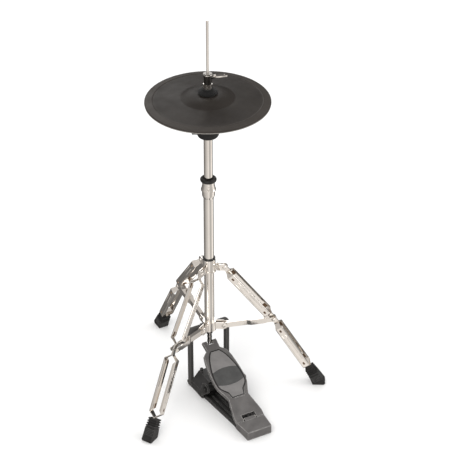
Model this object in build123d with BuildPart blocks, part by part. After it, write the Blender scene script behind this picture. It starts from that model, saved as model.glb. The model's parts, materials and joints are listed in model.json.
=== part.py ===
"""Electronic hi-hat: a folding tripod stand with a foot pedal, a pull rod and a rubber pad.

Millimetres. +Z is up, the origin is on the stand's axis at the floor, the pedal's heel
points along -Y and +X is to the player's right-hand side of the pedal.
"""
from build123d import *
from math import atan2, cos, hypot, radians, sin
import os

# ---------------------------------------------------------------- driving dimensions
# Stand column
LOWER_TUBE_R = 12.7
LOWER_TUBE_BORE_R = 11.4
LOWER_TUBE_Z = (170.0, 596.0)
UPPER_TUBE_R = 11.1
UPPER_TUBE_BORE_R = 9.5
UPPER_TUBE_Z = (370.0, 742.0)
SLIDE_GAP = 0.05            # radial play of a running fit
BODY_GAP = 0.3              # space between neighbouring curved faces that move

# Legs: three legs, one opposite the pedal and two beside it
LEG_ANGLES = {"right": -30.0, "back": 90.0, "left": 210.0}
HUB_PIVOT = (38.6, 361.6)   # distance from the axis, height
MID_PIVOT = (165.5, 204.9)
FOOT_END = (287.3, 6.0)
STRUT_PIVOT = (36.8, 181.7)
STRAP_HALF_WIDTH = 9.5
STRAP_OUTER = 17.75         # half the spread of a leg's two straps
UPPER_LIP = 13.5            # where the lips end: the upper segment's are narrower
LOWER_LIP = 10.5
SHEET = 1.8                 # pressed steel thickness
LUG_OUTER = 2.0             # half thickness of the two lugs pinched together
PIVOT_R = 2.5

# Pedal
BOARD_SLOPE = 24.5
BOARD_HEEL = (-222.0, 25.0)  # y and z of the footboard's lower end, on its top face
BOARD_THICK = 10.0
HINGE_V = 5.5               # hinge axis, up the board from its lower end
TOE_V = 241.69              # chain pin, up the board from its lower end
CHAIN_PITCH = 6.35
CHAIN_LINKS = 6
PLATE_THICK = 3.0
HEEL_END_Y = -270.0

# Pad and clutch
PAD_R = 152.5
PAD_RIM_Z = 838.0
BELL_TOP_Z = 861.0
ROD_R = 3.175
ROD_TOP_Z = 1052.0
ROD_JOIN_Z = 300.0
CLUTCH_TOP_Z = 914.0
CLUTCH_WING_ANGLE = -14.0
CLUTCH_WING_Z = 903.0
CLUTCH_WING_ROLL = 72.0     # how far the clutch's wings are turned from upright
CONTROLLER_R = 27.0
CONTROLLER_Z = (741.0, 774.0)
PLUNGER_TOP_Z = 779.0
JACK_R = 3.2                # bore of a 6.35 mm jack socket
JACK_BARREL_R = 6.3
JACK_BARREL = 13.0          # length of a jack's barrel behind its nut
SCREW_R = 3.0               # shank of the three wing screws
SCREW_HOLE_R = 3.05
CLAMP_SLOT_ANGLE = -118.0   # the side of the column that carries the clamp's slot

os.makedirs("parts", exist_ok=True)
pieces = []


# ---------------------------------------------------------------- helpers
def save(builder, name):
    """Label a finished piece and write it as its own node."""
    builder.part.label = name
    export_step(builder.part, f"parts/{name}.step")
    pieces.append(name)


def outward(angle):
    """Unit vector from the axis at an angle round the stand."""
    return Vector(cos(radians(angle)), sin(radians(angle)), 0)


def sideways(angle):
    """Unit vector across a leg, level."""
    return Vector(sin(radians(angle)), -cos(radians(angle)), 0)


def leg_plane(angle, lateral=0.0):
    """Upright plane of a leg: local x outward, local y up, normal sideways."""
    return Plane(origin=sideways(angle) * lateral, x_dir=outward(angle), z_dir=sideways(angle))


def radial_plane(angle, radius, z):
    """Plane facing outward at a place on the column: local x sideways, local y up."""
    origin = outward(angle) * radius + Vector(0, 0, z)
    return Plane(origin=origin, x_dir=-sideways(angle), z_dir=outward(angle))


def rolled(plane, angle):
    """The same plane turned about its own normal."""
    turn = radians(angle)
    across = plane.x_dir * cos(turn) + plane.y_dir * sin(turn)
    return Plane(origin=plane.origin, x_dir=across, z_dir=plane.z_dir)


def rod_along(plane, radius, start, end):
    """Add a round bar along a plane's normal, from start to end."""
    with BuildSketch(plane.offset(start)) as shape:
        Circle(radius)
    extrude(shape.sketch, amount=end - start)


def ring_between(outer, inner, low, high):
    """Add a round sleeve about the stand's axis."""
    with BuildSketch(Plane.XY.offset(low)) as shape:
        Circle(outer)
        Circle(inner, mode=Mode.SUBTRACT)
    extrude(shape.sketch, amount=high - low)


# ---------------------------------------------------------------- column
with BuildPart() as lower_tube:
    ring_between(LOWER_TUBE_R, LOWER_TUBE_BORE_R, *LOWER_TUBE_Z)
save(lower_tube, "lower_tube")

with BuildPart() as upper_tube:
    ring_between(UPPER_TUBE_R, UPPER_TUBE_BORE_R, *UPPER_TUBE_Z)
save(upper_tube, "upper_tube")

SEAT_Z = (190.0, 200.0)
SPRING_TOP_Z = 280.0
SPRING_R = 7.4
SPRING_WIRE_R = 0.9
with BuildPart() as spring_seat:
    ring_between(LOWER_TUBE_BORE_R, ROD_R + SLIDE_GAP, *SEAT_Z)
save(spring_seat, "spring_seat")

with BuildPart() as return_spring:
    spring_height = SPRING_TOP_Z - SEAT_Z[1] - 2 * SPRING_WIRE_R
    with BuildLine(Plane.XY.offset(SEAT_Z[1] + SPRING_WIRE_R)) as coil:
        Helix(pitch=spring_height / 11, height=spring_height, radius=SPRING_R)
    with BuildSketch(Plane(origin=coil.line @ 0, z_dir=coil.line % 0)):
        Circle(SPRING_WIRE_R)
    sweep(path=coil.line, is_frenet=True)
save(return_spring, "return_spring")

# Clamp on top of the lower tube, with a back boss for its wing screw
CLAMP_PROFILE = [
    (LOWER_TUBE_R + SLIDE_GAP, 568),
    (13.4, 568),
    (15.6, 574),
    (16.2, 576),
    (16.2, 584),
    (15.4, 587),
    (15.4, 589),
    (18.7, 590.5),
    (18.7, 593.5),
    (17.4, 596),
    (15.6, 606),
    (15.6, 614),
    (12.8, 614),
    (12.8, 596.2),
    (LOWER_TUBE_R + SLIDE_GAP, 596.2),
]
CLAMP_WING_Z = 601.0
CLAMP_BACK = CLAMP_SLOT_ANGLE + 180
with BuildPart() as height_clamp:
    with BuildSketch(Plane.XZ):
        Polygon(*CLAMP_PROFILE, align=None)
    revolve(axis=Axis.Z)
    with BuildSketch(radial_plane(CLAMP_BACK, 13.5, CLAMP_WING_Z)):
        Circle(7)
    extrude(amount=12)
    with BuildSketch(radial_plane(CLAMP_BACK, 11, CLAMP_WING_Z)):
        Circle(SCREW_HOLE_R)
    extrude(amount=16, mode=Mode.SUBTRACT)
    with BuildSketch(Plane.XY.offset(CLAMP_WING_Z - 12)):
        Circle(12.8)
    extrude(amount=26, mode=Mode.SUBTRACT)
    with BuildSketch(radial_plane(CLAMP_SLOT_ANGLE, 14.4, 606)):
        SlotOverall(9, 2.6)
    extrude(amount=4, mode=Mode.SUBTRACT)
    with BuildSketch(radial_plane(CLAMP_SLOT_ANGLE, 14.9, 597)):
        Polygon((-4, 4), (4, 4), (0, -2.5), align=None)
    extrude(amount=4, mode=Mode.SUBTRACT)
save(height_clamp, "height_clamp")

with BuildPart() as clamp_bushing:
    ring_between(12.75, UPPER_TUBE_R + SLIDE_GAP, 596.4, 614.6)
    with BuildSketch(radial_plane(CLAMP_BACK, 10, CLAMP_WING_Z)):
        Circle(SCREW_HOLE_R)
    extrude(amount=4, mode=Mode.SUBTRACT)
save(clamp_bushing, "clamp_bushing")


SCREW_TIP_GAP = 0.15        # a loose wing screw's tip stands this far off what it clamps
WING_THICK = 3.2


def wing_screw(plane, tip, boss, wing_span, wing_height, wing_length):
    """Add a wing screw along a plane's normal: shank, boss (start, end, radius) and wings."""
    rod_along(plane, SCREW_R, tip, boss[0])
    rod_along(plane, boss[2], boss[0], boss[1])
    grip = Plane(origin=plane.origin + plane.z_dir * boss[0], x_dir=plane.z_dir, z_dir=plane.x_dir)
    with BuildSketch(grip) as shape:
        with BuildLine():
            Spline(
                (1, wing_height * 0.28),
                (wing_length * 0.45, wing_span * 0.5),
                (wing_length, wing_span * 0.36),
                (wing_length * 0.78, 0),
                (wing_length, -wing_span * 0.36),
                (wing_length * 0.45, -wing_span * 0.5),
                (1, -wing_height * 0.28),
            )
            Line((1, -wing_height * 0.28), (1, wing_height * 0.28))
        make_face()
    extrude(shape.sketch, amount=WING_THICK / 2, both=True)


with BuildPart() as clamp_wing:
    wing_screw(
        radial_plane(CLAMP_BACK, 0, CLAMP_WING_Z), tip=UPPER_TUBE_R + SCREW_TIP_GAP,
        boss=(26, 37, 5), wing_span=34, wing_height=12, wing_length=22,
    )
save(clamp_wing, "clamp_wing")

# Black memory ring that rests on the clamp and travels with the upper tube
RING_R = 20.5
RING_Z = (615.2, 625.0)
with BuildPart() as memory_ring:
    with BuildSketch(Plane.XZ):
        with BuildLine():
            Polyline(
                (UPPER_TUBE_R + 0.02, RING_Z[0]),
                (17, RING_Z[0]),
            )
            ThreePointArc((17, RING_Z[0]), (RING_R, sum(RING_Z) / 2), (17, RING_Z[1]))
            Polyline(
                (17, RING_Z[1]),
                (15.6, RING_Z[1]),
                (UPPER_TUBE_R + 0.02, RING_Z[1] - 3.5),
                (UPPER_TUBE_R + 0.02, RING_Z[0]),
            )
        make_face()
    revolve(axis=Axis.Z)
save(memory_ring, "memory_ring")


# ---------------------------------------------------------------- collar, hub and rivets
RIVET_TAPER = 35            # slope of a rivet head's side


def ear_pair(angle, pivot, inner, outer, half_height, root):
    """Add two upright ears beside a leg's plane, rounded about their pivot."""
    for side in (-1, 1):
        with BuildSketch(leg_plane(angle, side * (inner + outer) / 2)) as shape:
            with Locations(pivot):
                Circle(half_height)
            with Locations(((root + pivot[0]) / 2, pivot[1])):
                Rectangle(pivot[0] - root, 2 * half_height)
            with Locations(pivot):
                Circle(PIVOT_R, mode=Mode.SUBTRACT)
        extrude(shape.sketch, amount=(outer - inner) / 2, both=True)


def pivot_rivet(angle, pivot, half_length, head_r, head):
    """Add a round-headed rivet across a leg's plane."""
    for side in (-1, 1):
        along = leg_plane(angle)
        centre = along.origin + outward(angle) * pivot[0] + Vector(0, 0, pivot[1])
        facing = Plane(origin=centre, x_dir=outward(angle), z_dir=sideways(angle) * side)
        rod_along(facing, PIVOT_R, 0, half_length)
        with BuildSketch(facing.offset(half_length)) as shape:
            Circle(head_r)
        extrude(shape.sketch, amount=head, taper=RIVET_TAPER)


COLLAR_Z = (168.0, 195.0)
COLLAR_R = 17.4
COLLAR_EAR = (5.3, 7.1)
ARM_Y = (-1.5, 13.5)        # depth of the frame's arch
ARCH_RING_R = 14.9
ARCH_RING_Z = (170.5, 182.0)
with BuildPart() as lower_collar:
    ring_between(COLLAR_R, LOWER_TUBE_R, *COLLAR_Z)
    for angle in LEG_ANGLES.values():
        ear_pair(angle, STRUT_PIVOT, *COLLAR_EAR, 9.5, 15.0)
    with BuildSketch(Plane.XY.offset(COLLAR_Z[0])):
        Circle(LOWER_TUBE_R)
    extrude(amount=COLLAR_Z[1] - COLLAR_Z[0], mode=Mode.SUBTRACT)
    with BuildSketch(Plane.XY.offset(ARCH_RING_Z[0] - 0.2)):
        Circle(ARCH_RING_R + 0.2)
        with Locations((0, sum(ARM_Y) / 2)):
            Rectangle(60, ARM_Y[1] - ARM_Y[0] + 0.6)
    extrude(amount=ARCH_RING_Z[1] - ARCH_RING_Z[0] + 0.4, mode=Mode.SUBTRACT)
save(lower_collar, "lower_collar")

with BuildPart() as collar_rivets:
    for angle in LEG_ANGLES.values():
        pivot_rivet(angle, STRUT_PIVOT, COLLAR_EAR[1], 5.2, 1.8)
save(collar_rivets, "collar_rivets")

HUB_Z = (350.0, 387.0)
HUB_BORE_R = LOWER_TUBE_R + SLIDE_GAP
HUB_R = 16.6
HUB_EAR = (2.3, 4.3)
HUB_WING_ANGLE = -62.0
HUB_WING_Z = 372.0
with BuildPart() as leg_hub:
    ring_between(HUB_R, HUB_BORE_R, *HUB_Z)
    ring_between(HUB_R + 1.2, HUB_BORE_R, HUB_Z[0], HUB_Z[0] + 4)
    for angle in LEG_ANGLES.values():
        ear_pair(angle, HUB_PIVOT, *HUB_EAR, 9.0, 14.5)
    with BuildSketch(radial_plane(HUB_WING_ANGLE, 14.5, HUB_WING_Z)):
        Circle(6)
    extrude(amount=7)
    with BuildSketch(Plane.XY.offset(HUB_Z[0])):
        Circle(HUB_BORE_R)
    extrude(amount=HUB_Z[1] - HUB_Z[0], mode=Mode.SUBTRACT)
    with BuildSketch(Plane.XY.offset(HUB_Z[1] - 10)):
        Circle(14.8)
    extrude(amount=10, mode=Mode.SUBTRACT)
    with BuildSketch(radial_plane(HUB_WING_ANGLE, 11, HUB_WING_Z)):
        Circle(SCREW_HOLE_R)
    extrude(amount=14, mode=Mode.SUBTRACT)
save(leg_hub, "leg_hub")

with BuildPart() as hub_insert:
    ring_between(14.7, HUB_BORE_R, HUB_Z[1] - 9.8, HUB_Z[1] + 1.5)
    ring_between(16.2, HUB_BORE_R, HUB_Z[1] + 0.1, HUB_Z[1] + 2.5)
save(hub_insert, "hub_insert")

with BuildPart() as hub_rivets:
    for angle in LEG_ANGLES.values():
        pivot_rivet(angle, HUB_PIVOT, HUB_EAR[1], 5.0, 1.8)
save(hub_rivets, "hub_rivets")

with BuildPart() as hub_wing:
    wing_screw(
        radial_plane(HUB_WING_ANGLE, 0, HUB_WING_Z), tip=LOWER_TUBE_R + SCREW_TIP_GAP,
        boss=(22, 29, 4.4), wing_span=22, wing_height=9, wing_length=13,
    )
save(hub_wing, "hub_wing")


# ---------------------------------------------------------------- legs
def point_on(angle, place, along, direction):
    """A point of a leg: a pivot (outward, up) moved along a direction in the leg's plane."""
    out = place[0] + along * direction[0]
    up = place[1] + along * direction[1]
    return outward(angle) * out + Vector(0, 0, up)


def heading(start, end):
    """Length and unit direction from one pivot to another in a leg's plane."""
    length = hypot(end[0] - start[0], end[1] - start[1])
    return length, ((end[0] - start[0]) / length, (end[1] - start[1]) / length)


def segment_plane(angle, start, direction):
    """Plane of a leg segment seen from above: local x along it, local y across the leg."""
    along = outward(angle) * direction[0] + Vector(0, 0, direction[1])
    origin = point_on(angle, start, 0, direction)
    return Plane(origin=origin, x_dir=along, z_dir=along.cross(sideways(angle)))


UPPER_LENGTH, UPPER_DIR = heading(HUB_PIVOT, MID_PIVOT)
LOWER_LENGTH, LOWER_DIR = heading(MID_PIVOT, FOOT_END)
STRUT_LENGTH, STRUT_DIR = heading(STRUT_PIVOT, MID_PIVOT)
LUG_R = 7.5
NECK_HALF_WIDTH = 6.5
PINCH = (14.0, 26.0)        # where a strap leaves its flat lug, and where it has spread
FOOT_PINCH = (LOWER_LENGTH - 66, LOWER_LENGTH - 53)
STRAP_END = LOWER_LENGTH - 24


def strap_segment(part, angle, side, start, direction, marks, lip_end):
    """Add one channel-shaped segment of a strap; marks are its six stations along the leg."""
    first, flat_end, spread, closing, flat_start, last = marks
    plane = segment_plane(angle, start, direction)
    rise = STRAP_OUTER - LUG_OUTER
    shift_in = SHEET * sin(atan2(rise, spread - flat_end) / 2)
    shift_out = SHEET * sin(atan2(rise, flat_start - closing) / 2)
    outer = [(first, LUG_OUTER), (flat_end, LUG_OUTER), (spread, STRAP_OUTER)]
    outer += [(closing, STRAP_OUTER), (flat_start, LUG_OUTER), (last, LUG_OUTER)]
    web = STRAP_OUTER - SHEET
    lug = LUG_OUTER - SHEET
    inner = [(last, lug), (flat_start - shift_out, lug), (closing - shift_out, web)]
    inner += [(spread + shift_in, web), (flat_end + shift_in, lug), (first, lug)]
    with BuildSketch(plane) as shape:
        Polygon(*[(t, side * w) for t, w in outer + inner], align=None)
    extrude(shape.sketch, amount=STRAP_HALF_WIDTH, both=True)
    lip = [(spread + 2, web), (spread + 9, lip_end), (closing - 9, lip_end), (closing - 2, web)]
    with BuildSketch(plane) as shape:
        Polygon(*[(t, side * w) for t, w in lip], align=None)
    extrude(shape.sketch, amount=STRAP_HALF_WIDTH, both=True)
    with BuildSketch(plane) as shape:
        Polygon(*[(t, side * w) for t, w in lip], align=None)
    extrude(shape.sketch, amount=STRAP_HALF_WIDTH - SHEET, both=True, mode=Mode.SUBTRACT)
    long_edges = part.edges().filter_by(Axis((0, 0, 0), plane.x_dir))
    fillet(long_edges.group_by(Axis((0, 0, 0), sideways(angle) * side))[-1], 2.4)


def strip_outline(start, direction, stations):
    """Outline in a leg's plane of a strip with a half width at each station along it."""
    upper = [(t, half) for t, half in stations]
    lower = [(t, -half) for t, half in reversed(stations)]
    return [
        (start[0] + t * direction[0] - n * direction[1], start[1] + t * direction[1] + n * direction[0])
        for t, n in upper + lower
    ]


def pressed_window(angle, side, start, direction, along):
    """Cut a small pressed window through a strap's outer web."""
    centre = point_on(angle, start, along, direction)
    run = outward(angle) * direction[0] + Vector(0, 0, direction[1])
    face = sideways(angle) * side
    with BuildSketch(Plane(origin=centre + face * 12, x_dir=run, z_dir=face)) as shape:
        RectangleRounded(8, 5, 1.2)
    extrude(shape.sketch, amount=8, mode=Mode.SUBTRACT)


def leg_strap(angle, side):
    """One pressed strap of a leg, from the hub to the rubber foot, bent at the strut's rivet."""
    with BuildPart() as strap:
        upper_end = (UPPER_LENGTH - PINCH[1], UPPER_LENGTH - PINCH[0], UPPER_LENGTH)
        upper_marks = (-LUG_R, *PINCH, *upper_end)
        lower_marks = (0, *PINCH, *FOOT_PINCH, STRAP_END)
        strap_segment(strap, angle, side, HUB_PIVOT, UPPER_DIR, upper_marks, UPPER_LIP)
        strap_segment(strap, angle, side, MID_PIVOT, LOWER_DIR, lower_marks, LOWER_LIP)
        upper_stations = [
            (0, NECK_HALF_WIDTH), (18, NECK_HALF_WIDTH), (28, STRAP_HALF_WIDTH + 1),
            (UPPER_LENGTH - 28, STRAP_HALF_WIDTH + 1), (UPPER_LENGTH - 20, NECK_HALF_WIDTH),
            (UPPER_LENGTH, NECK_HALF_WIDTH),
        ]
        lower_stations = [
            (0, NECK_HALF_WIDTH), (20, NECK_HALF_WIDTH), (30, STRAP_HALF_WIDTH + 1),
            (FOOT_PINCH[0] - 2, STRAP_HALF_WIDTH + 1), (FOOT_PINCH[1], NECK_HALF_WIDTH + 1),
            (STRAP_END, NECK_HALF_WIDTH + 1),
        ]
        with BuildSketch(leg_plane(angle)) as shape:
            Polygon(*strip_outline(HUB_PIVOT, UPPER_DIR, upper_stations), align=None)
            Polygon(*strip_outline(MID_PIVOT, LOWER_DIR, lower_stations), align=None)
            with Locations(HUB_PIVOT, MID_PIVOT):
                Circle(LUG_R)
            with Locations(HUB_PIVOT):
                Circle(PIVOT_R + SLIDE_GAP, mode=Mode.SUBTRACT)
            with Locations(MID_PIVOT):
                Circle(PIVOT_R, mode=Mode.SUBTRACT)
        extrude(shape.sketch, amount=side * 25, mode=Mode.INTERSECT)
        for along in (36, UPPER_LENGTH - 36):
            pressed_window(angle, side, HUB_PIVOT, UPPER_DIR, along)
        for along in (36, FOOT_PINCH[0] - 12):
            pressed_window(angle, side, MID_PIVOT, LOWER_DIR, along)
    return strap


def rubber_foot(angle):
    """Ribbed rubber shoe over the end of a leg, with a flat sole on the floor."""
    base, _ = heading(MID_PIVOT, FOOT_END)
    shoulder = base - 26
    neck = [(base - 50, 9.5), (shoulder, 9.5)]
    with BuildPart() as foot:
        with BuildSketch(leg_plane(angle)) as shape:
            Polygon(*strip_outline(MID_PIVOT, LOWER_DIR, neck), align=None)
        extrude(shape.sketch, amount=11, both=True)
        for rib in range(4):
            low = base - 50 + 6.4 * rib
            stations = [(low, 11.5 + 0.4 * rib), (low + 3.4, 11.5 + 0.4 * rib)]
            with BuildSketch(leg_plane(angle)) as shape:
                Polygon(*strip_outline(MID_PIVOT, LOWER_DIR, stations), align=None)
            extrude(shape.sketch, amount=12.6 + 0.3 * rib, both=True)
        toe = FOOT_END[0]
        top = strip_outline(MID_PIVOT, LOWER_DIR, [(shoulder, 12.8)])
        with BuildSketch(leg_plane(angle)) as shape:
            Polygon(top[0], (toe + 17, 6), (toe + 14, 0), (toe - 16, 0), top[1], align=None)
        extrude(shape.sketch, amount=13.5, both=True)
        fillet(foot.edges().filter_by(Axis((0, 0, 0), sideways(angle))).group_by(Axis.Z)[1], 2)
        slot = [(base - 60, NECK_HALF_WIDTH + 1.02), (STRAP_END + 0.05, NECK_HALF_WIDTH + 1.02)]
        with BuildSketch(leg_plane(angle)) as shape:
            Polygon(*strip_outline(MID_PIVOT, LOWER_DIR, slot), align=None)
        extrude(shape.sketch, amount=LUG_OUTER + 0.02, both=True, mode=Mode.SUBTRACT)
    return foot


STRUT_WALL = 1.6
STRUT_INNER_W = 5.0
STRUT_OUTER_W = 8.6
STRUT_HALF_HEIGHT = 7.5


def leg_strut(angle):
    """Channel strut: narrow inside the collar's ears, forked round the leg's pinched lugs."""
    plane = segment_plane(angle, STRUT_PIVOT, STRUT_DIR)
    step = (STRUT_LENGTH * 0.47, STRUT_LENGTH * 0.55)
    end = STRUT_LENGTH
    with BuildPart() as strut:
        for side in (-1, 1):
            outer = [(-8, STRUT_INNER_W), (step[0], STRUT_INNER_W)]
            outer += [(step[1], STRUT_OUTER_W), (end + 8, STRUT_OUTER_W)]
            inner = [(t, w - STRUT_WALL) for t, w in reversed(outer)]
            with BuildSketch(plane) as shape:
                Polygon(*[(t, side * w) for t, w in outer + inner], align=None)
            extrude(shape.sketch, amount=STRUT_HALF_HEIGHT, both=True)
        with BuildSketch(leg_plane(angle)) as shape:
            stations = [(0, STRUT_HALF_HEIGHT), (end - 24, STRUT_HALF_HEIGHT), (end - 18, 6), (end, 6)]
            Polygon(*strip_outline(STRUT_PIVOT, STRUT_DIR, stations), align=None)
            with Locations(STRUT_PIVOT):
                Circle(STRUT_HALF_HEIGHT)
            with Locations(MID_PIVOT):
                Circle(6)
                Circle(PIVOT_R, mode=Mode.SUBTRACT)
            with Locations(STRUT_PIVOT):
                Circle(PIVOT_R + SLIDE_GAP, mode=Mode.SUBTRACT)
        extrude(shape.sketch, amount=12, both=True, mode=Mode.INTERSECT)
        cover = [(9, STRUT_INNER_W - 0.5), (step[0], STRUT_INNER_W - 0.5), (step[1], STRUT_OUTER_W - 0.5)]
        cover += [(end - 25, STRUT_OUTER_W - 0.5)]
        mirrored = [(t, -w) for t, w in reversed(cover)]
        with BuildSketch(plane.offset(-STRUT_HALF_HEIGHT)) as shape:
            Polygon(*(cover + mirrored), align=None)
        extrude(shape.sketch, amount=STRUT_WALL)
    return strut


def strut_rivets(angle):
    """The two rivet heads that close a strut's fork on the leg."""
    centre = outward(angle) * MID_PIVOT[0] + Vector(0, 0, MID_PIVOT[1])
    with BuildPart() as rivets:
        for side in (-1, 1):
            facing = Plane(origin=centre, x_dir=outward(angle), z_dir=sideways(angle) * side)
            rod_along(facing, PIVOT_R, STRUT_OUTER_W - STRUT_WALL, STRUT_OUTER_W)
            with BuildSketch(facing.offset(STRUT_OUTER_W)) as shape:
                Circle(5.2)
            extrude(shape.sketch, amount=2, taper=RIVET_TAPER)
    return rivets


for leg, leg_angle in LEG_ANGLES.items():
    save(leg_strap(leg_angle, 1), f"leg_{leg}_strap_a")
    save(leg_strap(leg_angle, -1), f"leg_{leg}_strap_b")
    save(rubber_foot(leg_angle), f"leg_{leg}_foot")
    save(leg_strut(leg_angle), f"strut_{leg}")
    save(strut_rivets(leg_angle), f"strut_{leg}_rivets")


# ---------------------------------------------------------------- base and arch
BASE_OUTLINE = [(58, 18), (54, -61), (49, -61), (36, -198), (36, -215), (34, -268)]
with BuildPart() as base_plate:
    with BuildSketch():
        Polygon(*(BASE_OUTLINE + [(-x, y) for x, y in reversed(BASE_OUTLINE)]), align=None)
    extrude(amount=PLATE_THICK)
    rib_start = -63.0
    rib_end = -209.0
    for lane in range(-3, 4):
        with BuildSketch(Plane.XY.offset(PLATE_THICK)):
            Polygon(
                (lane * 15 - 1.5, rib_start),
                (lane * 15 + 1.5, rib_start),
                (lane * 10.6 + 1.5, rib_end),
                (lane * 10.6 - 1.5, rib_end),
                align=None,
            )
        extrude(amount=4)
    fillet(base_plate.edges().filter_by(Axis.Z).group_by(Axis.Y)[-1], 5)
save(base_plate, "base_plate")

ROOF = [(57, PLATE_THICK), (56, 22), (34, 47), (-34, 47), (-56, 22), (-57, PLATE_THICK)]
BRACKET_Y = (-62.0, -4.0)
ARCH_X = (48.5, 59.5)       # the arch's uprights
ARCH_TOP_Z = 182.0
ARCH_BAR = 21.0
STOP_BAR = (-82.0, 45.0)    # y and z of the rubber stop bar's axis
STOP_BAR_R = 9.5
CHEEK = (51.0, 56.0)
with BuildPart() as toe_bracket:
    with BuildSketch(Plane.XZ.offset(-BRACKET_Y[1])):
        Polygon(*ROOF, align=None)
    extrude(amount=BRACKET_Y[1] - BRACKET_Y[0])
    inside = [(51, PLATE_THICK), (51, 20), (31, 42.5), (-31, 42.5), (-51, 20), (-51, PLATE_THICK)]
    with BuildSketch(Plane.XZ.offset(-BRACKET_Y[1] + 5)):
        Polygon(*inside, align=None)
    extrude(amount=BRACKET_Y[1] - BRACKET_Y[0], mode=Mode.SUBTRACT)
    for side in (-1, 1):
        with BuildSketch(Plane.XY.offset(PLATE_THICK)):
            Polygon((side * 45, -5), (side * 57.3, -5), (side * 58, 18), (side * 45, 18), align=None)
        extrude(amount=7)
        with BuildSketch(Plane.YZ.offset(side * sum(CHEEK) / 2)):
            Polygon(
                (-58, 8), (-61, 10), (STOP_BAR[0] - 9, 38), (STOP_BAR[0] - 9, 48),
                (STOP_BAR[0], 58), (-66, 54), (-50, 24), align=None,
            )
            with Locations(STOP_BAR):
                Circle(13)
                Circle(4.1, mode=Mode.SUBTRACT)
        extrude(amount=(CHEEK[1] - CHEEK[0]) / 2, both=True)
        with BuildSketch(Plane.XY.offset(47)):
            with Locations((side * 29, -9)):
                Circle(4.5)
        extrude(amount=7)
        with BuildSketch(Plane.XY.offset(PLATE_THICK)):
            with Locations((side * sum(ARCH_X) / 2, sum(ARM_Y) / 2)):
                Rectangle(ARCH_X[1] - ARCH_X[0] + 0.2, ARM_Y[1] - ARM_Y[0] + 0.2)
        extrude(amount=60, mode=Mode.SUBTRACT)
save(toe_bracket, "toe_bracket")

with BuildPart() as stop_bar:
    across_bar = Plane(origin=(0, *STOP_BAR), x_dir=(0, 1, 0), z_dir=(1, 0, 0))
    rod_along(across_bar, STOP_BAR_R, -CHEEK[0] + 0.2, CHEEK[0] - 0.2)
    fillet(stop_bar.edges().filter_by(GeomType.CIRCLE), 1.5)
save(stop_bar, "stop_bar")

with BuildPart() as frame:
    with BuildSketch(Plane.XZ.offset(-ARM_Y[1])):
        with BuildLine():
            FilletPolyline(
                (-ARCH_X[1], PLATE_THICK),
                (-ARCH_X[1], ARCH_TOP_Z),
                (ARCH_X[1], ARCH_TOP_Z),
                (ARCH_X[1], PLATE_THICK),
                radius=13,
            )
            Line((ARCH_X[1], PLATE_THICK), (ARCH_X[0], PLATE_THICK))
            FilletPolyline(
                (ARCH_X[0], PLATE_THICK),
                (ARCH_X[0], ARCH_TOP_Z - ARCH_BAR),
                (-ARCH_X[0], ARCH_TOP_Z - ARCH_BAR),
                (-ARCH_X[0], PLATE_THICK),
                radius=6,
            )
            Line((-ARCH_X[0], PLATE_THICK), (-ARCH_X[1], PLATE_THICK))
        make_face()
    extrude(amount=ARM_Y[1] - ARM_Y[0])
    fillet(frame.faces().filter_by(Axis.Y).edges().filter_by(GeomType.LINE).group_by(Axis.Z)[-1], 5)
    with BuildSketch(Plane.XY.offset(ARCH_TOP_Z - 30)):
        Circle(COLLAR_R + 0.3)
    extrude(amount=40, mode=Mode.SUBTRACT)
    ring_between(ARCH_RING_R, LOWER_TUBE_R, *ARCH_RING_Z)
    with BuildSketch(Plane.XY.offset(ARCH_RING_Z[0])):
        for side in (-1, 1):
            with Locations((side * 17.5, sum(ARM_Y) / 2)):
                Rectangle(8, ARM_Y[1] - ARM_Y[0])
        Circle(LOWER_TUBE_R, mode=Mode.SUBTRACT)
    extrude(amount=ARCH_RING_Z[1] - ARCH_RING_Z[0])
save(frame, "frame")

with BuildPart() as bracket_bolts:
    for side in (-1, 1):
        outer = Plane(origin=(0, *STOP_BAR), x_dir=(0, 1, 0), z_dir=(side, 0, 0))
        rod_along(outer, 4.0, CHEEK[0], CHEEK[1])
        with BuildSketch(outer.offset(CHEEK[1])):
            RegularPolygon(7.5, 6)
        extrude(amount=4.5)
        with BuildSketch(outer.offset(CHEEK[1] + 4.5)):
            Circle(5.5)
        extrude(amount=1, taper=30)
save(bracket_bolts, "bracket_bolts")


# ---------------------------------------------------------------- pedal
SLOPE = radians(BOARD_SLOPE)
BOARD = Plane(
    origin=(0, BOARD_HEEL[0], BOARD_HEEL[1]),
    x_dir=(1, 0, 0),
    z_dir=(0, -sin(SLOPE), cos(SLOPE)),
)
PIN_DEPTH = BOARD_THICK / 2
NOTCH_HALF = 19.0
NOTCH_END_V = 17.5
TONGUE_HALF = 15.5
TOE_NOTCH_V = 235.0         # closed end of the notch that the chain hangs into
BOARD_END_V = 247.0
HINGE_PIN_R = 2.5


def board_axis(v):
    """Plane across the footboard at its half thickness, its normal along +X."""
    centre = BOARD.origin + BOARD.y_dir * v - BOARD.z_dir * PIN_DEPTH
    return Plane(origin=centre, x_dir=BOARD.y_dir, z_dir=(1, 0, 0))


def board_sketch(plane, inset, low_v, high_v):
    """Footboard outline at an inset from its edge, kept between two stations up the board."""
    shoulder = [(37.5, 193), (41.5, 166), (44, 132), (42, 106), (33.5, 84), (28.5, 70)]
    with BuildSketch(plane) as outline:
        with BuildLine() as edge:
            neck = (33 - inset, 209 - inset)
            Polyline((0, BOARD_END_V), (20 - inset, BOARD_END_V), (19 - inset, 221), neck)
            Spline(neck, *[(x - inset, v) for x, v in shoulder])
            Polyline((28.5 - inset, 70), (40 - inset, 17), (39.3 - inset, 0), (0, 0))
            mirror(about=Plane.YZ)
        make_face(edge.edges())
        with Locations((0, (low_v + high_v) / 2)):
            Rectangle(120, high_v - low_v, mode=Mode.INTERSECT)
    return outline.sketch


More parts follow.
